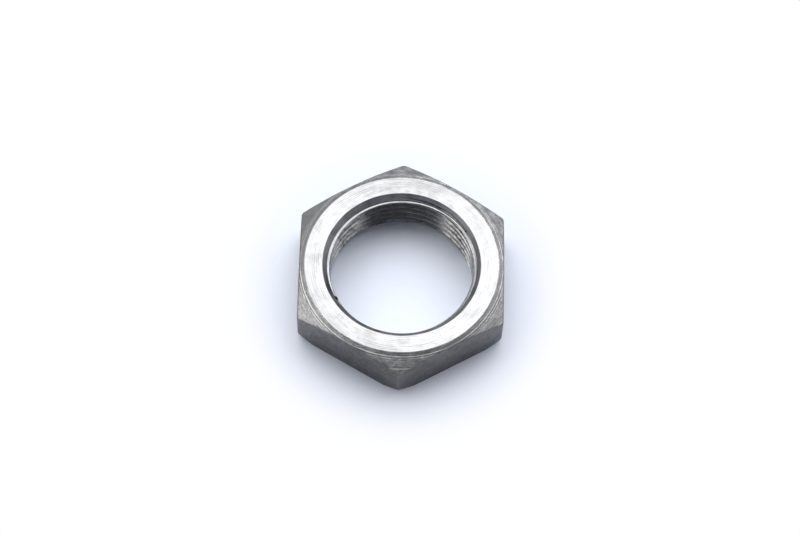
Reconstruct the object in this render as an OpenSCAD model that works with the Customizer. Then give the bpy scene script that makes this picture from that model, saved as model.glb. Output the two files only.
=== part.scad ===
// Thin hexagon hub nut, turned from bar.
// It lies on its plain seat, with the thread's axis along Z and a corner of the hexagon on the Y axis.

/* [Hexagon] */
// Width across the flats
across_flats = 32; // [28:0.5:46]
// Thickness, from the seat to the top ring
thickness = 8.25; // [6:0.25:20]

/* [Top ring] */
// How far the flat top ring stops short of the flats
ring_inset = 0.8; // [0.2:0.1:2]
// Slope of the cone turned off the corners, measured from level
chamfer_angle = 28; // [15:1:45]

/* [Thread] */
// Nominal diameter of the thread
thread_d = 24; // [16:0.5:28]
// Pitch of the thread
thread_pitch = 1.5; // [1:0.25:3]
// Where the groove runs out through the ledge, counter-clockwise from the X axis
thread_start = -49.7; // [-180:0.1:180]

/* [Bore mouth] */
// Width of the flat ledge that the thread starts from
ledge_w = 0.44; // [0.2:0.02:1]
// Height of the plain wall above the ledge
ledge_wall = 0.26; // [0.1:0.02:1]
// Radial width of the bevel round the mouth
bevel_w = 0.74; // [0.3:0.02:1.5]
// Slope of the mouth's bevel, measured from level
bevel_angle = 45; // [30:1:60]

/* [Underside] */
// How far in from the corners the bevel under them starts
foot_w = 1.27; // [0.3:0.01:2.2]
// Slope of the bevel under the corners, measured from level
foot_angle = 45; // [20:1:60]
// Radial width of the lead-in bevel under the thread
lead_w = 1; // [0.3:0.05:1.5]
// Slope of the lead-in bevel, measured from level
lead_angle = 45; // [30:1:60]

/* [Hidden] */
$fn = 180;

// The basic metric thread form: five eighths of the height of a sharp 60 degree thread
thread_depth = 5 / 8 * thread_pitch * sqrt(3) / 2;
minor_r = thread_d / 2 - thread_depth;

// Radii outward from the thread
ledge_r = minor_r + ledge_w;
mouth_r = ledge_r + bevel_w;
lead_r = minor_r + lead_w;
ring_r = across_flats / 2 - ring_inset;
corner_r = across_flats / 2 / cos(30);
foot_r = corner_r - foot_w;

// Heights above the seat
lead_z = lead_w * tan(lead_angle);
bevel_z = thickness - bevel_w * tan(bevel_angle);
ledge_z = bevel_z - ledge_wall;

// The groove of the thread is cut from below the seat to above the top ring, in straight steps
groove_steps = 48;
groove_in_r = minor_r - thread_pitch / 8;
groove_out_r = thread_d / 2;
groove_from_z = -thread_pitch;
groove_to_z = thickness + thread_pitch / 2;
groove_rise = thread_pitch / groove_steps;
groove_count = ceil((groove_to_z - groove_from_z) / groove_rise);

// The turned outline clears the corners by this much, and the bar is longer than the nut by it at each end
turning_room = 1;
blank_r = corner_r + turning_room;
blank_z = thickness - (blank_r - ring_r) * tan(chamfer_angle);
blank_foot_z = (blank_r - foot_r) * tan(foot_angle);

// Half of the section that is turned: seat, bevel under the corners, cone above them, top ring,
// mouth bevel, ledge, thread bore and lead-in
module turned_section() {
    polygon([
        [lead_r, 0],
        [foot_r, 0],
        [blank_r, blank_foot_z],
        [blank_r, blank_z],
        [ring_r, thickness],
        [mouth_r, thickness],
        [ledge_r, bevel_z],
        [ledge_r, ledge_z],
        [minor_r, ledge_z],
        [minor_r, lead_z]
    ]);
}

// The hexagon bar, with a corner towards -Y
module hexagon_bar() {
    translate([0, 0, -turning_room])
        linear_extrude(height = thickness + 2 * turning_room)
            rotate(30)
                circle(r = corner_r, $fn = 6);
}

// Half of the groove's width: three quarters of a pitch at the minor diameter, less 30 degrees on each side
function groove_half(r) = 3 / 8 * thread_pitch - (r - minor_r) * tan(30);

// Corners of the groove's section where its middle is at one height, each as its radius and height
function groove_section(z) = [
    [groove_in_r, z - groove_half(groove_in_r)],
    [groove_out_r, z - groove_half(groove_out_r)],
    [groove_out_r, z + groove_half(groove_out_r)],
    [groove_in_r, z + groove_half(groove_in_r)]
];

// Angle at which the right-hand groove reaches a height
function groove_angle(z) = thread_start + 360 * (z - ledge_z) / thread_pitch;

// The groove of the thread, as the body that is cut away
module thread_groove() {
    points = [
        for (step = [0 : groove_count])
            let (z = groove_from_z + step * groove_rise, angle = groove_angle(z))
                for (corner = groove_section(z))
                    [corner[0] * cos(angle), corner[0] * sin(angle), corner[1]]
    ];
    sides = [
        for (step = [0 : groove_count - 1], corner = [0 : 3])
            let (here = 4 * step, ahead = here + 4, next = (corner + 1) % 4)
                each [
                    [here + corner, here + next, ahead + next],
                    [here + corner, ahead + next, ahead + corner]
                ]
    ];
    last = 4 * groove_count;
    ends = [[3, 2, 1, 0], [last, last + 1, last + 2, last + 3]];
    polyhedron(points, concat(sides, ends));
}

// The whole nut, in one piece. The crests of its thread are what is left of the bore at the minor diameter.
module hub_nut() {
    color([0.66, 0.66, 0.65])
        difference() {
            intersection() {
                hexagon_bar();
                rotate_extrude()
                    turned_section();
            }
            thread_groove();
        }
}

hub_nut();
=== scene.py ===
"""A thin hexagon hub nut of turned steel, with its fine thread, on a white studio floor."""

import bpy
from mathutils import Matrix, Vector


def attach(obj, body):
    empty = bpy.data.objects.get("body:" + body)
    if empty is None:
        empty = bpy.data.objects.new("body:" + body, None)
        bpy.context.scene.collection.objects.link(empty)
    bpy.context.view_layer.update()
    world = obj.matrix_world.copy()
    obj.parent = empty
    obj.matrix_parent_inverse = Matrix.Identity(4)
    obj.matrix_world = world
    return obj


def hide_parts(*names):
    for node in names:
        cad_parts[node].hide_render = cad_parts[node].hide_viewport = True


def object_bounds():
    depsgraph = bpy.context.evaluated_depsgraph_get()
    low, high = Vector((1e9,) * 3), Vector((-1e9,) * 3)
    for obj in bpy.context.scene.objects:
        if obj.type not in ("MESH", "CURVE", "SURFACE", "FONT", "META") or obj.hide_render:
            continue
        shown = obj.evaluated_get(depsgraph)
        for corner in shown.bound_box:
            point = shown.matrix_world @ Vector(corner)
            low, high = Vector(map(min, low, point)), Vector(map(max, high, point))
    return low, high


bl_info = {
    "name": "Hub Nut",
    "version": (1, 0, 0),
    "blender": (4, 5, 0),
    "location": "View3D > Sidebar > Hub Nut",
    "description": "Makes a hexagon hub nut with a fine right-hand thread, and a white studio round it",
    "category": "Add Mesh",
}

import math

import bpy
from mathutils import Matrix, Vector

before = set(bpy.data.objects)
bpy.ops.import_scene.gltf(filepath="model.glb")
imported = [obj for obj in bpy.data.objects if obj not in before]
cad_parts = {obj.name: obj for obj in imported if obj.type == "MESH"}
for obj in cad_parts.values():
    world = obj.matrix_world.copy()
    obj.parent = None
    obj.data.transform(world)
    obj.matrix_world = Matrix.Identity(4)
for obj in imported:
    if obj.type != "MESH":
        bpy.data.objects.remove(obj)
CAD_LOW, CAD_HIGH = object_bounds()
CAD_SIZE = CAD_HIGH - CAD_LOW

MM = 0.001
FULL_TURN = 2 * math.pi
WHITE = (1.0, 1.0, 1.0)

# Columns of faces round the axis; a multiple of 12 puts one on each corner of the hexagon
COLUMNS = 480
# How far the columns gather towards the corners, from 0 to 1
GATHER = 0.7
# Rows of faces in one pitch of the thread, and in the rounding of an edge
THREAD_ROWS = 16
EDGE_ROWS = 3
# Rings of faces closer than this are welded
WELD = 0.001 * MM
# Edges that turn by more than this stay crisp
CRISP_ANGLE = math.radians(35)

# The basic metric thread form: its depth and half its groove's width, in pitches, and the slope of its flanks
THREAD_DEPTH = 5 / 16 * math.sqrt(3)
HALF_GROOVE = 3 / 8
FLANK_SLOPE = math.sqrt(3)

# The tool's ridge on the cone: its distance outside the top ring, and how far it reaches each way
RIDGE_OUT = 0.66 * MM
RIDGE_REACH = 0.09 * MM
# The hollow beside the ridge: its distance outside it, its reach, and its depth as a share of the ridge
HOLLOW_OUT = 0.17 * MM
HOLLOW_REACH = 0.1 * MM
HOLLOW_SHARE = 0.7
# The short groove on the cone: its radius and reach, its middle, and where it fades and ends on each side
GROOVE_RADIUS = 17.35 * MM
GROOVE_REACH = 0.16 * MM
GROOVE_MIDDLE = math.radians(-89)
GROOVE_FADES = math.radians(6)
GROOVE_ENDS = math.radians(11)
# The part of the cone next to the top ring that has finer rows
FINE_CONE = 1.05 * MM

# The torn start of the first thread, by the angles at which it begins and ends and over which it fades
TORN_FROM = math.radians(-152)
TORN_FROM_FADE = math.radians(1.5)
TORN_TO = math.radians(-117)
TORN_TO_FADE = 0.1
# The burr: its angle, how far it reaches each way, its middle, and how far its spot of painted shade reaches
# and fades
BURR_ANGLE = math.radians(-149.5)
BURR_FULL = math.radians(0.5)
BURR_ENDS = math.radians(2)
BURR_RADIUS = 11.4 * MM
BURR_HEIGHT = 7.4 * MM
BURR_SPOT = 0.42 * MM
BURR_SPOT_FADE = 0.6 * MM

# Feed of the turning tool in one turn, in the millimetres that the finishes are drawn in
TOOL_FEED = 0.31
# Radius at which the run of a mark is measured, and how much a face's height counts in spacing the marks
MARK_RADIUS = 15
MARK_HEIGHT_SHARE = 0.6

# Half the width of the floor, in metres, and the width of the camera's sensor, in millimetres
FLOOR_HALF = 3.0
SENSOR_WIDTH = 36

# Sockets of a Mix node that blends colours
MIX_SHARE = 0
MIX_FIRST = 6
MIX_LAST = 7
MIX_RESULT = 2

# Face labels that choose the finish
FLATS = 0
CONE = 1
FACED = 2
THREAD = 3
MOUTH = 4


class HubNutSizes(bpy.types.PropertyGroup):
    """Sizes of the nut. The two main ones come from the solid."""

    across_flats: bpy.props.FloatProperty(
        name="Across flats",
        description="Width of the hexagon from flat to flat",
        default=CAD_SIZE.x,
        unit="LENGTH",
    )
    thickness: bpy.props.FloatProperty(
        name="Thickness",
        description="Height from the seat to the top ring",
        default=CAD_SIZE.z,
        unit="LENGTH",
    )
    ring_inset: bpy.props.FloatProperty(
        name="Ring inset",
        description="How far the flat top ring stops short of the flats",
        default=0.8 * MM,
        unit="LENGTH",
    )
    chamfer_angle: bpy.props.FloatProperty(
        name="Chamfer angle",
        description="Slope of the cone turned off the corners, from level",
        default=math.radians(28),
        subtype="ANGLE",
    )
    thread_diameter: bpy.props.FloatProperty(
        name="Thread diameter",
        description="Nominal diameter of the thread, at the bottom of its groove",
        default=24 * MM,
        unit="LENGTH",
    )
    thread_pitch: bpy.props.FloatProperty(
        name="Thread pitch",
        description="Rise of the thread in one turn",
        default=1.5 * MM,
        unit="LENGTH",
    )
    thread_start: bpy.props.FloatProperty(
        name="Thread start",
        description="Angle at which the middle of the groove runs out through the ledge",
        default=math.radians(-49.7),
        subtype="ANGLE",
    )
    ledge_width: bpy.props.FloatProperty(
        name="Ledge width",
        description="Width of the flat ledge that the thread starts from",
        default=0.44 * MM,
        unit="LENGTH",
    )
    ledge_wall: bpy.props.FloatProperty(
        name="Ledge wall",
        description="Height of the plain wall above the ledge",
        default=0.26 * MM,
        unit="LENGTH",
    )
    bevel_width: bpy.props.FloatProperty(
        name="Mouth bevel",
        description="Radial width of the 45 degree bevel round the mouth of the bore",
        default=0.74 * MM,
        unit="LENGTH",
    )
    foot_width: bpy.props.FloatProperty(
        name="Foot bevel",
        description="How far in from the corners the 45 degree bevel under them starts",
        default=1.27 * MM,
        unit="LENGTH",
    )
    lead_width: bpy.props.FloatProperty(
        name="Lead-in bevel",
        description="Radial width of the 45 degree bevel under the thread",
        default=1.0 * MM,
        unit="LENGTH",
    )
    crest_softness: bpy.props.FloatProperty(
        name="Crest softness",
        description="Rounding of the crests of the thread",
        default=0.08 * MM,
        unit="LENGTH",
    )
    ledge_softness: bpy.props.FloatProperty(
        name="Ledge softness",
        description="How far the rounding of the ledge's inner edge reaches on each side of it",
        default=0.1 * MM,
        unit="LENGTH",
    )
    mouth_softness: bpy.props.FloatProperty(
        name="Mouth softness",
        description="Rounding between the mouth bevel and the wall under it",
        default=0.06 * MM,
        unit="LENGTH",
    )
    run_out_wear: bpy.props.FloatProperty(
        name="Run-out wear",
        description="How much shallower the thread's groove is where it runs out through the mouth bevel",
        default=0.12 * MM,
        unit="LENGTH",
    )
    shoulder_softness: bpy.props.FloatProperty(
        name="Shoulder softness",
        description="How far the worn edge between the cone and a flat reaches on each side of it",
        default=0.2 * MM,
        unit="LENGTH",
    )
    edge_softness: bpy.props.FloatProperty(
        name="Edge softness",
        description="How far the rounding of an edge reaches on each side of it",
        default=0.08 * MM,
        unit="LENGTH",
    )
    corner_softness: bpy.props.FloatProperty(
        name="Corner softness",
        description="Rounding of the six upright corners, as a share of the width",
        default=0.022,
        subtype="FACTOR",
    )
    tool_ridge: bpy.props.FloatProperty(
        name="Tool ridge",
        description="Height of the ridge that the turning tool left round the cone",
        default=0.03 * MM,
        unit="LENGTH",
    )
    tool_groove: bpy.props.FloatProperty(
        name="Tool groove",
        description="Depth of the short groove in the cone at the front corner",
        default=0.05 * MM,
        unit="LENGTH",
    )
    torn_edge: bpy.props.FloatProperty(
        name="Torn edge",
        description="Height of the burr where the first thread is broken away",
        default=0.3 * MM,
        unit="LENGTH",
    )


class HubNutFinish(bpy.types.PropertyGroup):
    """Colours and polish of the steel."""

    bright_steel: bpy.props.FloatVectorProperty(
        name="Bright steel",
        description="Colour of freshly faced steel, on the top ring",
        default=(0.41, 0.409, 0.406),
        subtype="COLOR",
    )
    cut_steel: bpy.props.FloatVectorProperty(
        name="Cut steel",
        description="Colour of the clean flanks of the thread",
        default=(0.76, 0.756, 0.748),
        subtype="COLOR",
    )
    turned_steel: bpy.props.FloatVectorProperty(
        name="Turned steel",
        description="Colour of the ridges between the tool marks on the cone",
        default=(0.53, 0.527, 0.518),
        subtype="COLOR",
    )
    # Worn steel is also the dark end of the painted shade on the cone and the top ring
    worn_and_shaded_steel: bpy.props.FloatVectorProperty(
        name="Worn steel",
        description="Colour of the steel in scratches and between the tool marks",
        default=(0.22, 0.219, 0.216),
        subtype="COLOR",
    )
    dull_steel: bpy.props.FloatVectorProperty(
        name="Dull steel",
        description="Colour of the lighter spots on the bar's own surface",
        default=(0.215, 0.215, 0.217),
        subtype="COLOR",
    )
    # Dark steel is also the dark end of the painted shade on the flats' front corner and on the mouth bevel's
    # sides
    dark_steel: bpy.props.FloatVectorProperty(
        name="Dark steel",
        description="Colour of the darker spots on the bar's own surface",
        default=(0.103, 0.103, 0.106),
        subtype="COLOR",
    )
    mouth_steel: bpy.props.FloatVectorProperty(
        name="Mouth steel",
        description="Colour of the bevel round the mouth of the bore",
        default=(0.37, 0.37, 0.373),
        subtype="COLOR",
    )
    # Grime is also the colour of painted shade in the thread and in the burr's notch
    grime_and_shade: bpy.props.FloatVectorProperty(
        name="Grime",
        description="Colour of the cutting oil and dust left in the thread",
        default=(0.08, 0.076, 0.072),
        subtype="COLOR",
    )
    faced_roughness: bpy.props.FloatProperty(
        name="Top ring roughness",
        description="Roughness of the faced top ring and the ledge",
        default=0.26,
        subtype="FACTOR",
    )
    cone_roughness: bpy.props.FloatProperty(
        name="Cone roughness",
        description="Roughness of the turned cone and the mouth bevel",
        default=0.38,
        subtype="FACTOR",
    )
    flat_roughness: bpy.props.FloatProperty(
        name="Flat roughness",
        description="Roughness of the six flats",
        default=0.42,
        subtype="FACTOR",
    )
    thread_roughness: bpy.props.FloatProperty(
        name="Thread roughness",
        description="Roughness of the thread",
        default=0.3,
        subtype="FACTOR",
    )


class HubNutStudio(bpy.types.PropertyGroup):
    """Floor, lamps and camera."""

    floor: bpy.props.FloatVectorProperty(
        name="Floor",
        description="Colour of the floor",
        default=(0.87, 0.912, 1.0),
        subtype="COLOR",
    )
    room: bpy.props.FloatVectorProperty(
        name="Room",
        description="Light of the room behind the nut, which also shows in the steel",
        default=(0.335, 0.35, 0.425),
        subtype="COLOR",
    )
    dark_room: bpy.props.FloatVectorProperty(
        name="Dark room",
        description="Light of the room on the camera's side",
        default=(0.046, 0.05, 0.064),
        subtype="COLOR",
    )
    key_power: bpy.props.FloatProperty(
        name="Key lamp",
        description="Power of the large lamp overhead and behind",
        default=9.6,
        unit="POWER",
    )
    left_power: bpy.props.FloatProperty(
        name="Left lamp",
        description="Power of the lamp on the left",
        default=1.02,
        unit="POWER",
    )
    right_power: bpy.props.FloatProperty(
        name="Right lamp",
        description="Power of the lamp on the right",
        default=0.6,
        unit="POWER",
    )
    lens: bpy.props.FloatProperty(
        name="Lens",
        description="Focal length in millimetres",
        default=100.75,
    )
    elevation: bpy.props.FloatProperty(
        name="Elevation",
        description="How steeply the camera looks down",
        default=math.radians(63.50),
        subtype="ANGLE",
    )
    heading: bpy.props.FloatProperty(
        name="Heading",
        description="Turn of the camera round the nut",
        default=math.radians(-0.70),
        subtype="ANGLE",
    )
    roll: bpy.props.FloatProperty(
        name="Roll",
        description="Tilt of the picture",
        default=math.radians(2.22),
        subtype="ANGLE",
    )
    distance: bpy.props.FloatProperty(
        name="Distance",
        description="From the camera to the plane through the middle of the seat",
        default=355.85 * MM,
        unit="LENGTH",
    )
    aim: bpy.props.FloatVectorProperty(
        name="Aim",
        description="Where the middle of the seat lies right of and below the middle of the picture",
        default=(0.13 * MM, 3.19 * MM),
        size=2,
        unit="LENGTH",
    )


class Field:
    """A socket's value. Arithmetic on it adds Math nodes, so that a rule reads as a formula."""

    def __init__(self, nodes, socket):
        self.nodes = nodes
        self.socket = socket

    def math(self, operation, *values):
        return self.nodes.add("ShaderNodeMath", {"operation": operation}, dict(enumerate(values)))

    def __add__(self, other):
        return self.math("ADD", self, other)

    def __radd__(self, other):
        return self.math("ADD", other, self)

    def __sub__(self, other):
        return self.math("SUBTRACT", self, other)

    def __rsub__(self, other):
        return self.math("SUBTRACT", other, self)

    def __mul__(self, other):
        return self.math("MULTIPLY", self, other)

    def __rmul__(self, other):
        return self.math("MULTIPLY", other, self)

    def __truediv__(self, other):
        return self.math("DIVIDE", self, other)

    def __rtruediv__(self, other):
        return self.math("DIVIDE", other, self)

    def __pow__(self, other):
        return self.math("POWER", self, other)

    def __mod__(self, other):
        return self.math("FLOORED_MODULO", self, other)

    def __abs__(self):
        return self.math("ABSOLUTE", self)

    def sin(self):
        return self.math("SINE", self)

    def cos(self):
        return self.math("COSINE", self)

    def tan(self):
        return self.math("TANGENT", self)

    def up_to(self, other):
        return self.math("MINIMUM", self, other)

    def at_least(self, other):
        return self.math("MAXIMUM", self, other)

    def over(self, other):
        return self.math("GREATER_THAN", self, other)

    def ramp(self, start, end, first=0.0, last=1.0):
        """Goes smoothly from first to last as the value goes from start to end."""
        return self.nodes.add(
            "ShaderNodeMapRange",
            {"interpolation_type": "SMOOTHSTEP"},
            {"Value": self, "From Min": start, "From Max": end, "To Min": first, "To Max": last},
        )

    def swing(self, amount):
        """How far a pattern is from its middle, times an amount."""
        return (self - 0.5) * amount


def opaque(colour):
    """A plain colour gets its alpha; a colour from a node stays as it is."""
    return colour if isinstance(colour, Field) else (*colour, 1.0)


class Nodes:
    """Adds nodes to one node tree."""

    def __init__(self, tree):
        self.tree = tree

    def add(self, kind, settings=None, inputs=None, output=0):
        """One node: its settings come first, then its sockets get their values or links."""
        node = self.tree.nodes.new(kind)
        for name, value in (settings or {}).items():
            setattr(node, name, value)
        for key, value in (inputs or {}).items():
            if isinstance(value, Field):
                self.tree.links.new(value.socket, node.inputs[key])
            else:
                node.inputs[key].default_value = value
        if not node.outputs:
            return None
        return Field(self, node.outputs[output])

    def outputs(self, field):
        """All outputs of the node that a value comes from."""
        return [Field(self, socket) for socket in field.socket.node.outputs]

    def blend(self, share, first, last):
        """A colour between two others."""
        return self.add(
            "ShaderNodeMix",
            {"data_type": "RGBA"},
            {MIX_SHARE: share, MIX_FIRST: opaque(first), MIX_LAST: opaque(last)},
            output=MIX_RESULT,
        )


def between(first, last, along):
    """The ring a share of the way from one ring to another; a ring is its angle, radius and height."""
    return [a if a is b else a + (b - a) * along for a, b in zip(first, last)]


def rounded(first, edge, last, along):
    """The ring on a curve that leaves the first ring towards the edge and ends on the last ring."""
    return between(between(first, edge, along), between(edge, last, along), along)


def above_nothing(value, softness):
    """The value where it is above nothing, and nothing where it is below, with a soft bend between."""
    return (value + (value * value + softness * softness) ** 0.5) / 2


class Strips:
    """Strips of faces round the axis. Each is a flat grid, rolled up by rules for its rings."""

    def __init__(self, nodes):
        self.nodes = nodes
        place = nodes.add("GeometryNodeInputPosition")
        split = nodes.add("ShaderNodeSeparateXYZ", None, {0: place})
        across, up, _ = nodes.outputs(split)
        self.turn = across
        self.along = up + 0.5
        self.made = []

    def roll(self, finish, ring, rows):
        """One strip: the rows of a grid become rings of an angle, a radius and a height."""
        angle, radius, height = ring
        lines = rows + 1
        grid = self.nodes.add(
            "GeometryNodeMeshGrid",
            None,
            {"Size X": FULL_TURN, "Size Y": 1.0, "Vertices X": COLUMNS + 1, "Vertices Y": lines},
        )
        labelled = self.nodes.add(
            "GeometryNodeStoreNamedAttribute",
            {"data_type": "INT", "domain": "FACE"},
            {"Geometry": grid, "Name": "finish", "Value": finish},
        )
        place = self.nodes.add(
            "ShaderNodeCombineXYZ",
            None,
            {"X": radius * angle.cos(), "Y": radius * angle.sin(), "Z": height},
        )
        strip = self.nodes.add("GeometryNodeSetPosition", None, {"Geometry": labelled, "Position": place})
        self.made.append(strip)

    def straight(self, finish, first, last, rows):
        """A strip straight from one ring to another."""
        self.roll(finish, between(first, last, self.along), rows)

    def soft_edge(self, finish, first, edge, last):
        """A strip that rounds off the edge between two rings."""
        self.roll(finish, rounded(first, edge, last, self.along), EDGE_ROWS)

    def joined(self):
        """All the strips, welded into one closed mesh."""
        join = self.nodes.tree.nodes.new("GeometryNodeJoinGeometry")
        for strip in self.made:
            self.nodes.tree.links.new(strip.socket, join.inputs[0])
        whole = Field(self.nodes, join.outputs[0])
        return self.nodes.add("GeometryNodeMergeByDistance", None, {"Geometry": whole, "Distance": WELD})


def size_inputs(tree, nodes):
    """One named input of the tree for each size, and its value."""
    for item in HubNutSizes.__annotations__.values():
        tree.interface.new_socket(item.keywords["name"], in_out="INPUT", socket_type="NodeSocketFloat")
    group = tree.nodes.new("NodeGroupInput")
    sizes = {}
    for key, item in HubNutSizes.__annotations__.items():
        sizes[key] = Field(nodes, group.outputs[item.keywords["name"]])
    return sizes


class NutShape:
    """Radii and heights of the nut, as rules that follow from its named sizes."""

    def __init__(self, size, turn):
        self.size = size
        self.turn = turn
        self.pitch = size["thread_pitch"]

        # Radii, outward from the thread
        self.thread_depth = self.pitch * THREAD_DEPTH
        self.minor_r = size["thread_diameter"] / 2 - self.thread_depth
        self.ledge_r = self.minor_r + size["ledge_width"]
        self.mouth_r = self.ledge_r + size["bevel_width"]
        self.lead_r = self.minor_r + size["lead_width"]
        self.ring_r = size["across_flats"] / 2 - size["ring_inset"]
        self.corner_r = size["across_flats"] / math.sqrt(3)
        self.foot_r = self.corner_r - size["foot_width"]

        # Heights above the seat; the groove's is that of its middle on the X axis
        self.seat_z = turn * 0.0
        self.top_z = size["thickness"]
        self.bevel_z = self.top_z - size["bevel_width"]
        self.ledge_z = self.bevel_z - size["ledge_wall"]
        self.groove_z = self.ledge_z - self.pitch * size["thread_start"] / FULL_TURN

        # Outside, the columns of faces gather towards the corners of the hexagon
        self.corner_turn = turn + (turn * 6).sin() * (GATHER / 6)
        self.flat_r = self.hexagon_radius()
        self.rim_r = self.flat_r - size["shoulder_softness"]
        self.ring_in = [turn, self.mouth_r + size["edge_softness"], self.top_z]

        # The thin start of the first thread is broken away, and leaves a burr where it tore
        torn_start = turn.ramp(TORN_FROM, TORN_FROM + TORN_FROM_FADE)
        self.torn = torn_start * turn.ramp(TORN_TO, TORN_TO + TORN_TO_FADE, 1.0, 0.0)
        burr = abs(turn - BURR_ANGLE).ramp(BURR_FULL, BURR_ENDS, 1.0, 0.0)
        self.ledge_rim_z = self.ledge_z + burr * size["torn_edge"]
        self.lip_z = self.ledge_rim_z - size["ledge_softness"]

    def hexagon_radius(self):
        """Distance from the axis to the hexagon, with its upright corners rounded."""
        sixth = FULL_TURN / 6
        off_middle = abs((self.corner_turn + sixth / 2) % sixth - sixth / 2)
        this_flat = off_middle.cos()
        next_flat = (sixth - off_middle).cos()
        softness = self.size["corner_softness"]
        overlap = (softness - this_flat + next_flat).at_least(0.0)
        return self.size["across_flats"] / 2 / (this_flat + overlap * overlap / (softness * 4))

    def foot_z(self, radius):
        """Height of the seat and of the 45 degree bevel under the corners."""
        return (radius - self.foot_r).at_least(0.0)

    def cone_z(self, radius):
        """Height of the cone, with the ridge all round it and the short groove at the front corner."""
        ridge_r = self.ring_r + RIDGE_OUT
        ridge = abs(radius - ridge_r).ramp(0.0, RIDGE_REACH, 1.0, 0.0)
        hollow = abs(radius - ridge_r - HOLLOW_OUT).ramp(0.0, HOLLOW_REACH, 1.0, 0.0)
        groove = abs(radius - GROOVE_RADIUS).ramp(0.0, GROOVE_REACH, 1.0, 0.0)
        front = abs(self.corner_turn - GROOVE_MIDDLE).ramp(GROOVE_FADES, GROOVE_ENDS, 1.0, 0.0)
        raised = (ridge - hollow * HOLLOW_SHARE) * self.size["tool_ridge"]
        marks = raised - groove * front * self.size["tool_groove"]
        return self.top_z - (radius - self.ring_r) * self.size["chamfer_angle"].tan() + marks

    def thread_radius(self, height):
        """Distance from the axis to the thread form at a height; its groove climbs with the angle."""
        turns = (height - self.groove_z) / self.pitch - self.turn / FULL_TURN
        from_groove = abs((turns + 0.5) % 1.0 - 0.5) * self.pitch
        cut = (HALF_GROOVE * self.pitch - from_groove) * FLANK_SLOPE
        return self.minor_r + above_nothing(cut, self.size["crest_softness"]).up_to(self.thread_depth)

    def plain_mouth_radius(self, height):
        """Distance from the axis to the wall above the ledge and to the 45 degree bevel over it."""
        return self.ledge_r + above_nothing(height - self.bevel_z, self.size["mouth_softness"])

    def run_out_radius(self, height):
        """Distance from the axis to the thread's groove where it runs out through the mouth."""
        worn = height.ramp(self.ledge_z, self.bevel_z) * self.size["run_out_wear"]
        return self.thread_radius(height) - worn

    def mouth_radius(self, height):
        """Distance from the axis to the mouth, with the groove cut into it."""
        return self.plain_mouth_radius(height).at_least(self.run_out_radius(height))

    def mouth_finish(self, height):
        """The label of the mouth's faces, or of the thread's where the groove runs out."""
        in_groove = self.run_out_radius(height).over(self.plain_mouth_radius(height))
        return MOUTH + (THREAD - MOUTH) * in_groove

    def bore_radius(self, height):
        """Distance from the axis to the thread, its torn start and the lead-in bevel under it."""
        first_groove_z = self.groove_z + self.pitch * self.turn / FULL_TURN
        missing = self.torn * height.over(first_groove_z) * self.size["ledge_width"] / 2
        cut = self.thread_radius(height).at_least(self.minor_r + missing)
        return cut.at_least(self.lead_r - height)


def lay_outside(strips, shape):
    """The seat, the bevel under the corners, the flats and the worn edge over them."""
    soft = shape.size["edge_softness"]
    angle = shape.corner_turn
    flat_r = shape.flat_r
    foot_rim_r = flat_r - soft
    bevel_r = (shape.foot_r + (shape.corner_r - shape.foot_r) * strips.along).up_to(foot_rim_r)
    seat_in = [shape.turn, shape.lead_r, shape.seat_z]
    seat_out = [angle, foot_rim_r.up_to(shape.foot_r), shape.seat_z]
    foot_in = [angle, foot_rim_r, shape.foot_z(foot_rim_r)]
    foot = [angle, flat_r, shape.foot_z(flat_r)]
    foot_top = [angle, flat_r, shape.foot_z(flat_r) + soft]
    shoulder = [angle, flat_r, shape.cone_z(flat_r)]
    shoulder_low = [angle, flat_r, shape.cone_z(flat_r) - shape.size["shoulder_softness"]]
    shoulder_in = [angle, shape.rim_r, shape.cone_z(shape.rim_r)]
    strips.straight(FACED, seat_in, seat_out, rows=3)
    strips.roll(CONE, [angle, bevel_r, shape.foot_z(bevel_r)], rows=8)
    strips.soft_edge(FLATS, foot_in, foot, foot_top)
    strips.straight(FLATS, foot_top, shoulder_low, rows=5)

    # The lower half of the worn edge has the finish of the flats, and the upper half that of the cone
    lower_half = strips.along * 0.5
    upper_half = strips.along * 0.5 + 0.5
    strips.roll(FLATS, rounded(shoulder_low, shoulder, shoulder_in, lower_half), EDGE_ROWS)
    strips.roll(CONE, rounded(shoulder_low, shoulder, shoulder_in, upper_half), EDGE_ROWS)


def lay_cone(strips, shape):
    """The cone over the corners. Its rings end where they meet a flat."""
    fine_r = shape.ring_r + FINE_CONE
    edge_r = shape.ring_r + shape.size["edge_softness"]
    outer_r = (shape.corner_r + (fine_r - shape.corner_r) * strips.along).up_to(shape.rim_r)
    inner_r = (fine_r + (edge_r - fine_r) * strips.along).up_to(shape.rim_r)
    strips.roll(CONE, [shape.corner_turn, outer_r, shape.cone_z(outer_r)], rows=32)
    strips.roll(CONE, [shape.corner_turn, inner_r, shape.cone_z(inner_r)], rows=24)


def lay_top_ring(strips, shape):
    """The flat ring on top, with its outer edge rounded."""
    soft = shape.size["edge_softness"]
    low_r = shape.ring_r + soft
    low = [shape.corner_turn, low_r, shape.cone_z(low_r)]
    edge = [shape.corner_turn, shape.ring_r, shape.top_z]
    outer = [shape.corner_turn, shape.ring_r - soft, shape.top_z]
    strips.soft_edge(CONE, low, edge, outer)
    strips.straight(FACED, outer, shape.ring_in, rows=12)


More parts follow.
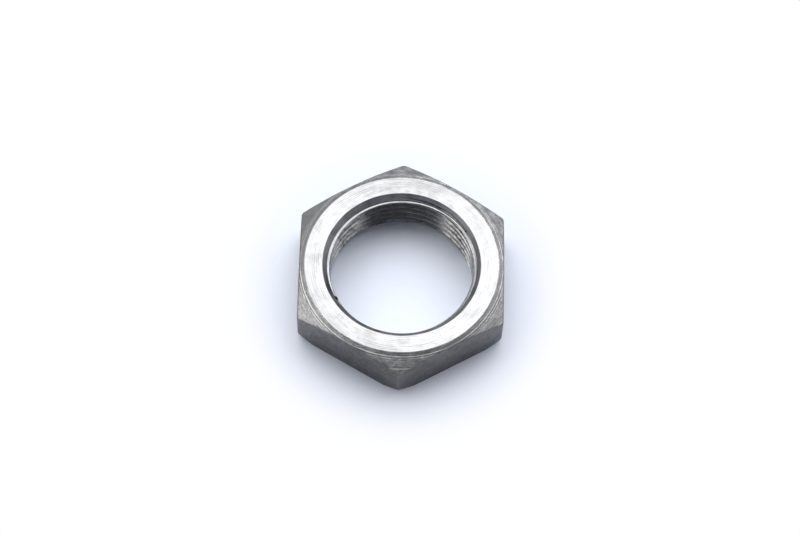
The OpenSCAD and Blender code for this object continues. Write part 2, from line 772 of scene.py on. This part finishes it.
def lay_mouth(strips, shape):
    """The bevel round the mouth and the wall above the ledge, with the groove running out through them."""
    turn = shape.turn
    bevel_top_z = shape.top_z - shape.size["edge_softness"] * math.sqrt(0.5)
    bevel_down_z = bevel_top_z + (shape.bevel_z - bevel_top_z) * strips.along
    wall_down_z = shape.bevel_z + (shape.ledge_z - shape.bevel_z) * strips.along
    mouth = [turn, shape.mouth_r, shape.top_z]
    bevel_top = [turn, shape.mouth_radius(bevel_top_z), bevel_top_z]
    bevel_down = [turn, shape.mouth_radius(bevel_down_z), bevel_down_z]
    wall_down = [turn, shape.mouth_radius(wall_down_z), wall_down_z]
    strips.soft_edge(MOUTH, shape.ring_in, mouth, bevel_top)
    strips.roll(shape.mouth_finish(bevel_down_z), bevel_down, rows=20)
    strips.roll(shape.mouth_finish(wall_down_z), wall_down, rows=7)


def lay_ledge(strips, shape):
    """The flat ledge that the thread starts from, with the burr on its inner edge."""
    turn = shape.turn
    outer_r = shape.mouth_radius(shape.ledge_z)
    edge_r = shape.bore_radius(shape.ledge_rim_z)
    inner_r = (edge_r + shape.size["ledge_softness"]).up_to(outer_r)
    outer = [turn, outer_r, shape.ledge_z]
    inner = [turn, inner_r, shape.ledge_rim_z]
    edge = [turn, edge_r, shape.ledge_rim_z]
    lip = [turn, shape.bore_radius(shape.lip_z), shape.lip_z]
    strips.straight(FACED, outer, inner, rows=2)
    strips.soft_edge(FACED, inner, edge, lip)


def lay_thread(strips, shape):
    """The thread: its rows follow the helix and stop at the ledge and the seat."""
    row_rise = shape.pitch / THREAD_ROWS
    first_row_z = shape.groove_z + shape.pitch + row_rise / 2
    row_count = strips.nodes.add(
        "FunctionNodeFloatToInt",
        {"rounding_mode": "CEILING"},
        {0: (first_row_z + shape.pitch / 2) / row_rise},
    )
    helix_z = first_row_z + shape.pitch * shape.turn / FULL_TURN - row_rise * row_count * strips.along
    bore_z = helix_z.at_least(0.0).up_to(shape.lip_z)
    strips.roll(THREAD, [shape.turn, shape.bore_radius(bore_z), bore_z], row_count)


def hub_nut_tree():
    """The nodes that make the nut: rings of faces up the outside, over the top and down the bore."""
    tree = bpy.data.node_groups.new("hub nut", "GeometryNodeTree")
    tree.is_modifier = True
    nodes = Nodes(tree)
    size = size_inputs(tree, nodes)
    tree.interface.new_socket("Nut", in_out="OUTPUT", socket_type="NodeSocketGeometry")
    strips = Strips(nodes)
    shape = NutShape(size, strips.turn)
    lay_outside(strips, shape)
    lay_cone(strips, shape)
    lay_top_ring(strips, shape)
    lay_mouth(strips, shape)
    lay_ledge(strips, shape)
    lay_thread(strips, shape)

    # One welded mesh, smooth but for its crisp edges
    smooth = nodes.add("GeometryNodeSetShadeSmooth", {"domain": "FACE"}, {0: strips.joined()})
    bend = nodes.add("GeometryNodeInputMeshEdgeAngle")
    crisp = nodes.add(
        "GeometryNodeSetShadeSmooth",
        {"domain": "EDGE"},
        {0: smooth, "Selection": bend.over(CRISP_ANGLE), "Shade Smooth": False},
    )
    solid = nodes.add("GeometryNodeRealizeInstances", None, {"Geometry": crisp})
    label = nodes.add("GeometryNodeInputNamedAttribute", {"data_type": "INT"}, {"Name": "finish"})
    for finish, material in nut_finishes().items():
        chosen = nodes.add(
            "FunctionNodeCompare",
            {"data_type": "INT", "operation": "EQUAL"},
            {"A": label, "B": finish},
        )
        solid = nodes.add(
            "GeometryNodeSetMaterial",
            None,
            {"Geometry": solid, "Selection": chosen, "Material": material},
        )
    nodes.add("NodeGroupOutput", None, {"Nut": solid})
    return tree


class SteelFinish:
    """The nodes of one finish of the steel, drawn on the nut's own coordinates in millimetres."""

    def __init__(self, name):
        self.material = bpy.data.materials.new(name)
        self.material.use_nodes = True
        self.material.node_tree.nodes.clear()
        self.nodes = Nodes(self.material.node_tree)
        self.place = self.nodes.add("ShaderNodeTexCoord", output="Object")
        split = self.nodes.add("ShaderNodeSeparateXYZ", None, {0: self.place})
        self.x, self.y, self.z = [part / MM for part in self.nodes.outputs(split)]
        self.radius = (self.x * self.x + self.y * self.y) ** 0.5

    def noise(self, x, y, z, detail):
        """A cloudy pattern in which one step of each value is about one spot."""
        place = self.nodes.add("ShaderNodeCombineXYZ", None, {0: x, 1: y, 2: z})
        return self.nodes.add(
            "ShaderNodeTexNoise",
            None,
            {"Vector": place, "Scale": 1.0, "Detail": detail, "Roughness": 0.6},
        )

    def rings(self, spacing, run, detail=2.0):
        """Marks round the axis, by their spacing and by how far each runs before it fades."""
        section = self.radius - self.z * MARK_HEIGHT_SHARE
        turns = MARK_RADIUS / run
        across = self.x / self.radius * turns
        up = self.y / self.radius * turns
        return self.noise(section / spacing, across, up, detail)

    def grain(self, size, detail=3.0):
        """Spots that run no way in particular."""
        return self.noise(self.x / size, self.y / size, self.z / size, detail)

    def streaks(self, spacing, run, detail=3.0):
        """Slanting scratches, by their spacing and their length."""
        lean = 0.5
        rise = 0.87
        slant = self.x * lean + self.z * rise
        level = self.x * rise - self.z * lean
        return self.noise(level / spacing, slant / run, self.y / spacing, detail)

    def burr_notch_shade(self):
        """Painted shade: a dark spot at the burr, in the notch where the start of the first thread tore out.
        """
        place = (BURR_RADIUS * math.cos(BURR_ANGLE), BURR_RADIUS * math.sin(BURR_ANGLE), BURR_HEIGHT)
        away = self.nodes.add(
            "ShaderNodeVectorMath",
            {"operation": "DISTANCE"},
            {0: self.place, 1: place},
            output="Value",
        )
        return away.ramp(BURR_SPOT, BURR_SPOT_FADE, 1.0, 0.0)

    def inset(self):
        """Distance in from the nearest flat."""
        half = bpy.context.scene.hub_nut_sizes.across_flats / MM / 2
        reach = abs(self.x)
        for angle in (math.radians(60), math.radians(120)):
            reach = reach.at_least(abs(self.x * math.cos(angle) + self.y * math.sin(angle)))
        return half - reach

    def finished(self, colour, roughness, height, depth, stretch):
        """Metal with these colours and marks; the stretch draws highlights out across the turning marks."""
        bump = self.nodes.add(
            "ShaderNodeBump",
            None,
            {"Strength": 1.0, "Distance": depth, "Height": height},
        )
        surface = self.nodes.add(
            "ShaderNodeBsdfPrincipled",
            None,
            {
                "Base Color": colour,
                "Metallic": 1.0,
                "Roughness": roughness,
                "Anisotropic": stretch,
                "Anisotropic Rotation": 0.25,
                "Normal": bump,
            },
        )
        self.nodes.add("ShaderNodeOutputMaterial", None, {"Surface": surface})
        return self.material


def faced_ring(look):
    """The top ring, the ledge and the seat: fine rings from the facing tool, with duller patches."""
    steel = SteelFinish("faced_ring")
    fine = steel.rings(spacing=0.17, run=6.0)
    broad = steel.rings(spacing=0.5, run=9.0)
    patch = steel.rings(spacing=2.5, run=2.5)
    scratch = steel.rings(spacing=0.14, run=1.2)

    # Lines at the tool's feed, which come and go
    in_feed = abs((steel.radius / TOOL_FEED) % 1.0 - 0.5) * 2
    shown = steel.rings(spacing=2.5, run=7.0).ramp(0.35, 0.6)
    lines = in_feed.ramp(0.4, 1.0) * shown * steel.x.ramp(4, 12, 1.0, 0.3)
    dull = fine.ramp(0.4, 0.65) * 0.25 + lines * 0.4 + patch.ramp(0.4, 0.7) * 0.3

    # Duller patches at the back and next to the flats at the left and the left front: painted shade on the
    # back and left of the ring, broken up into patches
    rubbed = (steel.y + patch.swing(8)).ramp(9, 14, 0.0, 0.35) * steel.x.ramp(-7, -2, 0.3, 1.0)
    for angle in (math.radians(180), math.radians(240)):
        reach = steel.x * math.cos(angle) + steel.y * math.sin(angle)
        rubbed = rubbed + (reach + patch.swing(2)).ramp(12.4, 13.3, 0.0, 0.2)

    # One long scratch round the front, and the ledge darker on the left and lighter on the right
    scratch_r = 14.17
    scratch_width = 0.12
    scratch_run = steel.x.ramp(0, 1.5) * steel.x.ramp(5.5, 7.5, 1.0, 0.0) * steel.y.ramp(-12, -11, 0.45, 0.0)
    long_scratch = abs(steel.radius - scratch_r).ramp(0.0, scratch_width, 1.0, 0.0) * scratch_run
    ledge = steel.radius.ramp(11.7, 11.9, 0.35, 0.0) * steel.x.ramp(1, 5, 1.0, -0.4)

    # Wear, scratches, the ring's painted shade and the ledge's tone, together
    worn = dull + scratch.ramp(0.45, 0.75) * 0.3 + rubbed + long_scratch + ledge
    faced = steel.nodes.blend(worn, look.bright_steel, look.worn_and_shaded_steel)
    # Painted shade in the burr's notch
    colour = steel.nodes.blend(steel.burr_notch_shade(), faced, look.grime_and_shade)
    roughness = look.faced_roughness + broad.swing(0.2)
    return steel.finished(colour, roughness, fine, depth=0.0006 * MM, stretch=0.5)


def turned_cone(look):
    """The cone: turning rings under short scratches and rubbed spots."""
    steel = SteelFinish("turned_cone")
    feed = steel.rings(spacing=0.17, run=14.0)
    broad = steel.rings(spacing=0.6, run=7.0)
    scratch = steel.rings(spacing=0.16, run=1.0, detail=3.0)
    smear = steel.rings(spacing=0.35, run=1.5, detail=3.0)
    rubbed = steel.grain(1.3)
    speck = steel.grain(0.22)
    back = steel.y.ramp(-6, 8)
    front = 1 - back
    left = steel.x.ramp(-14, 8, 1.0, 0.0)

    # Lines at the tool's feed, drawn only at the front where they catch the light: painted highlights and
    # shade over the real ridge, strongest next to the top ring, and a band of painted shade inside them
    first_r = 15.85
    wave = ((steel.radius - first_r) * (FULL_TURN / TOOL_FEED)).cos() * front
    starts = steel.radius.ramp(first_r - 0.2, first_r - 0.05)
    first_line = starts * steel.radius.ramp(first_r + 0.05, first_r + 0.25, 1.8, 0.7)
    lines = wave * first_line * steel.radius.ramp(16.3, 17.0, 1.0, 0.3)
    ring_edge_shade = steel.radius.ramp(15.55, 15.77, 0.27, 0.0) * front
    fleck = steel.grain(0.16).ramp(0.56, 0.7) * front
    light = (
        0.3
        - ring_edge_shade
        + smear.swing(1.2)
        + feed.swing(0.9)
        + broad.swing(0.8)
        + scratch.swing(2.0)
        + rubbed.swing(1.0)
        + speck.swing(1.8)
        + lines * broad * 0.6
        + fleck * 0.4
    )

    # Painted shade and light by side: darker at the back, next to the left flat and at the right front,
    # lighter at the left front
    left_flat = steel.y.ramp(-6, -1, 0.0, 0.4) * steel.x.ramp(-14, -9, 1.0, 0.0)
    front_right = steel.x.ramp(2, 7, 0.0, 0.15) * steel.y.ramp(-13, -5, 1.0, 0.0)
    painted_side_shade = back * (left * 0.22 + 0.08) - front * left * 0.26 + left_flat + front_right
    turned = steel.nodes.blend(light - painted_side_shade, look.worn_and_shaded_steel, look.turned_steel)
    edge_wear = (steel.inset() + rubbed.swing(0.8)).ramp(0.0, 0.5, 0.6, 0.0)
    colour = steel.nodes.blend(edge_wear, turned, look.dull_steel)
    roughness = look.cone_roughness + rubbed.swing(0.3) + front * 0.1
    marks = feed + scratch * 0.8 + speck * 0.5 + lines
    return steel.finished(colour, roughness, marks, depth=0.004 * MM, stretch=0.55)


def mouth_bevel(look):
    """The bevel round the mouth of the bore: dull, with faint turning rings."""
    steel = SteelFinish("mouth_bevel")
    feed = steel.rings(spacing=0.15, run=10.0)
    smear = steel.rings(spacing=0.8, run=3.0)
    # Painted light and shade by side: lighter towards the back and the right, darker at the front and the
    # left
    back = steel.y.ramp(-5, 1, 0.0, 0.4) - steel.y.ramp(5, 10, 0.0, 0.15)
    front = steel.y.ramp(-12, -9, 0.15, 0.0)
    right = steel.x.ramp(-8, 9, -0.12, 0.4)
    light = 0.5 + feed.swing(1.2) + smear.swing(1.4) + back + right - front
    turned = steel.nodes.blend(light, look.dark_steel, look.mouth_steel)
    # Painted shade in the burr's notch
    colour = steel.nodes.blend(steel.burr_notch_shade(), turned, look.grime_and_shade)
    roughness = look.cone_roughness + smear.swing(0.2)
    return steel.finished(colour, roughness, feed, depth=0.002 * MM, stretch=0.5)


def bar_flats(look):
    """The six flats: the dull skin of the bar, with slanting scratches and dark spots."""
    steel = SteelFinish("bar_flats")
    mottle = steel.grain(1.6, detail=5.0)
    speck = steel.grain(0.3)
    scratch = steel.streaks(spacing=0.3, run=3.0)
    # Painted shade: the flats darker at the front corner
    front_corner_shade = abs(steel.x + 1).ramp(1, 9, 0.28, 0.0) * steel.y.ramp(-13, -11, 1.0, 0.0)
    light = 0.46 + mottle.swing(1.8) + scratch.swing(1.8) + speck.swing(1.2) - front_corner_shade
    colour = steel.nodes.blend(light, look.dark_steel, look.dull_steel)
    roughness = look.flat_roughness + mottle.swing(0.25)
    return steel.finished(colour, roughness, scratch + speck * 0.5, depth=0.003 * MM, stretch=0.0)


def cut_thread(look):
    """The thread: bright flanks, with spots of oil, darker crests, painted shade in the roots, on the back
    wall and on the left, and darker near the mouth and in a band round the sides.
    """
    steel = SteelFinish("cut_thread")
    sizes = bpy.context.scene.hub_nut_sizes
    root_r = sizes.thread_diameter / 2 / MM
    crest_r = root_r - THREAD_DEPTH * sizes.thread_pitch / MM
    fine = steel.rings(spacing=0.13, run=12.0)
    smear = steel.rings(spacing=0.6, run=2.0)
    blotch = steel.grain(0.5)
    # Painted shade on the back wall, on the left and in the roots of the groove; darker crests, with more
    # painted shade on them on the back wall
    back_wall_shade = steel.y.ramp(8.4, 10.6)
    # A darker band round the side walls, more on the right
    side_band = steel.y.ramp(4, 6.5) * steel.y.ramp(8, 9.5, 1.0, 0.0) * steel.x.ramp(-4, 4, 0.35, 0.65)
    mouth = steel.z.ramp(7.3, 7.6, 0.0, 0.25)
    left = steel.x.ramp(-10, 4, 0.25, 0.0)
    crest = steel.radius.ramp(crest_r + 0.072, crest_r + 0.172, 1.0, 0.0) * (back_wall_shade * 0.3 + 0.12)
    root = steel.radius.ramp(root_r - 0.25, root_r, 0.0, 0.5)
    spots = (fine.swing(0.6) + smear.swing(0.8) + blotch.swing(1.5)) * (1 - back_wall_shade * 0.6)
    # Oil spots and painted shade, together
    dirt_and_shade = crest.at_least(root) + back_wall_shade * 0.5 + side_band + mouth + left + spots
    cut = steel.nodes.blend(dirt_and_shade, look.cut_steel, look.grime_and_shade)
    # Painted shade in the burr's notch
    colour = steel.nodes.blend(steel.burr_notch_shade(), cut, look.grime_and_shade)
    roughness = look.thread_roughness + fine.swing(0.15)
    return steel.finished(colour, roughness, fine, depth=0.002 * MM, stretch=0.3)


def nut_finishes():
    """The finishes of the nut, by face label."""
    look = bpy.context.scene.hub_nut_finish
    return {
        FLATS: bar_flats(look),
        CONE: turned_cone(look),
        FACED: faced_ring(look),
        THREAD: cut_thread(look),
        MOUTH: mouth_bevel(look),
    }


class HUBNUT_OT_make_nut(bpy.types.Operator):
    """Make the nut as one mesh, in place of the plain solid"""

    bl_idname = "hubnut.make_nut"
    bl_label = "Make hub nut"

    def execute(self, context):
        sizes = context.scene.hub_nut_sizes
        tree = hub_nut_tree()
        nut = bpy.data.objects.new("threaded_hub_nut", bpy.data.meshes.new("threaded_hub_nut"))
        context.scene.collection.objects.link(nut)
        maker = nut.modifiers.new("hub nut", "NODES")
        maker.node_group = tree
        inputs = [item for item in tree.interface.items_tree if item.in_out == "INPUT"]
        for key, item in zip(HubNutSizes.__annotations__, inputs):
            maker[item.identifier] = getattr(sizes, key)
        made = nut.evaluated_get(context.evaluated_depsgraph_get())
        mesh = bpy.data.meshes.new_from_object(made)
        nut.modifiers.remove(maker)
        if not mesh.polygons:
            raise RuntimeError("The hub nut's nodes made no faces")
        while None in mesh.materials.values():
            mesh.materials.pop(index=mesh.materials.values().index(None))
        nut.data = mesh
        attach(nut, "root")
        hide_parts("hub_nut")
        return {"FINISHED"}


def add_lamp(name, power, colour, size, place):
    """An oval soft lamp that faces the nut."""
    light = bpy.data.lights.new(name, "AREA")
    light.shape = "ELLIPSE"
    light.size = size[0]
    light.size_y = size[1]
    light.energy = power
    light.color = colour
    lamp = bpy.data.objects.new(name, light)
    lamp.location = place
    lamp.rotation_euler = Vector(place).to_track_quat("Z", "Y").to_euler()
    bpy.context.scene.collection.objects.link(lamp)


def floor_material(colour):
    """Matt paper round the nut. Further off, the camera and reflections see plain white."""
    material = bpy.data.materials.new("white_floor")
    material.use_nodes = True
    material.node_tree.nodes.clear()
    nodes = Nodes(material.node_tree)
    place = nodes.add("ShaderNodeTexCoord", output="Object")
    away = nodes.add("ShaderNodeVectorMath", {"operation": "LENGTH"}, {0: place}, output="Value")
    rays = {ray.socket.name: ray for ray in nodes.outputs(nodes.add("ShaderNodeLightPath"))}
    seen = rays["Is Camera Ray"].at_least(rays["Is Glossy Ray"]).at_least(rays["Is Transmission Ray"])
    paper = nodes.add("ShaderNodeBsdfDiffuse", None, {"Color": opaque(colour)})
    glow = nodes.blend(away.ramp(17 * MM, 27 * MM), colour, WHITE)
    white = nodes.add("ShaderNodeEmission", None, {"Color": glow})
    share = away.ramp(15 * MM, 30 * MM) * seen
    surface = nodes.add("ShaderNodeMixShader", None, {0: share, 1: paper, 2: white})
    nodes.add("ShaderNodeOutputMaterial", None, {"Surface": surface})
    return material


def make_room(studio):
    """A room that is light behind the nut and low down, and dark above the camera."""
    world = bpy.data.worlds.new("room")
    world.use_nodes = True
    world.node_tree.nodes.clear()
    nodes = Nodes(world.node_tree)
    direction = nodes.add("ShaderNodeTexCoord", output="Generated")
    split = nodes.add("ShaderNodeSeparateXYZ", None, {0: direction})
    right, away, up = nodes.outputs(split)
    far_side = away.ramp(-0.4, 0.45) * (right * 0.6 + 0.7)
    lit = far_side.at_least(up.ramp(0.35, 0.75, 0.9, 0.0) * away.ramp(-0.3, 0.1, 1.0, 0.0))
    colour = nodes.blend(lit, studio.dark_room, studio.room)
    light = nodes.add("ShaderNodeBackground", None, {"Color": colour})
    nodes.add("ShaderNodeOutputWorld", None, {"Surface": light})
    bpy.context.scene.world = world


def make_camera(studio):
    """The camera, by how it looks at the middle of the seat."""
    level = Matrix.Rotation(studio.heading, 3, "Z")
    right = level @ Vector((1, 0, 0))
    down = level @ Vector((0, -math.sin(studio.elevation), -math.cos(studio.elevation)))
    ahead = level @ Vector((0, math.cos(studio.elevation), -math.sin(studio.elevation)))
    tilt = Matrix.Rotation(studio.roll, 3, ahead)
    right = tilt.inverted() @ right
    down = tilt.inverted() @ down
    data = bpy.data.cameras.new("camera")
    data.sensor_width = SENSOR_WIDTH
    data.lens = studio.lens
    data.clip_start = 0.01
    data.clip_end = 100
    camera = bpy.data.objects.new("camera", data)
    camera.location = -(right * studio.aim[0] + down * studio.aim[1] + ahead * studio.distance)
    camera.rotation_euler = Matrix((right, -down, -ahead)).transposed().to_euler()
    bpy.context.scene.collection.objects.link(camera)
    bpy.context.scene.camera = camera


class HUBNUT_OT_make_studio(bpy.types.Operator):
    """Make the white floor, the lamps and the camera"""

    bl_idname = "hubnut.make_studio"
    bl_label = "Make studio"

    def execute(self, context):
        studio = context.scene.hub_nut_studio
        context.scene.view_settings.view_transform = "Standard"
        far = FLOOR_HALF
        corners = [(-far, -far, 0), (far, -far, 0), (far, far, 0), (-far, far, 0)]
        sheet = bpy.data.meshes.new("floor")
        sheet.from_pydata(corners, [], [(0, 1, 2, 3)])
        sheet.materials.append(floor_material(studio.floor))
        floor = bpy.data.objects.new("floor", sheet)
        context.scene.collection.objects.link(floor)
        make_room(studio)
        add_lamp(
            "key_lamp",
            studio.key_power,
            colour=(0.985, 0.993, 1.0),
            size=(1.5, 0.95),
            place=(0.0, 0.436, 0.671),
        )
        add_lamp(
            "left_lamp",
            studio.left_power,
            colour=(1.0, 0.98, 0.95),
            size=(0.65, 0.42),
            place=(-0.584, -0.041, 0.546),
        )
        add_lamp(
            "right_lamp",
            studio.right_power,
            colour=(1.0, 0.99, 0.97),
            size=(0.8, 0.36),
            place=(0.603, 0.021, 0.525),
        )
        make_camera(studio)
        return {"FINISHED"}


class HUBNUT_PT_panel(bpy.types.Panel):
    """Sizes, finish and studio of the hub nut"""

    bl_idname = "HUBNUT_PT_panel"
    bl_label = "Hub Nut"
    bl_space_type = "VIEW_3D"
    bl_region_type = "UI"
    bl_category = "Hub Nut"

    def draw(self, context):
        scene = context.scene
        layout = self.layout
        for group in (scene.hub_nut_sizes, scene.hub_nut_finish, scene.hub_nut_studio):
            box = layout.box()
            for key in group.__annotations__:
                box.prop(group, key)
        layout.operator(HUBNUT_OT_make_nut.bl_idname)
        layout.operator(HUBNUT_OT_make_studio.bl_idname)


CLASSES = (
    HubNutSizes,
    HubNutFinish,
    HubNutStudio,
    HUBNUT_OT_make_nut,
    HUBNUT_OT_make_studio,
    HUBNUT_PT_panel,
)


def register():
    for kind in CLASSES:
        bpy.utils.register_class(kind)
    bpy.types.Scene.hub_nut_sizes = bpy.props.PointerProperty(type=HubNutSizes)
    bpy.types.Scene.hub_nut_finish = bpy.props.PointerProperty(type=HubNutFinish)
    bpy.types.Scene.hub_nut_studio = bpy.props.PointerProperty(type=HubNutStudio)


def unregister():
    del bpy.types.Scene.hub_nut_studio
    del bpy.types.Scene.hub_nut_finish
    del bpy.types.Scene.hub_nut_sizes
    for kind in reversed(CLASSES):
        bpy.utils.unregister_class(kind)


def main():
    register()
    bpy.ops.hubnut.make_nut()
    bpy.ops.hubnut.make_studio()


if __name__ == "__main__":
    main()
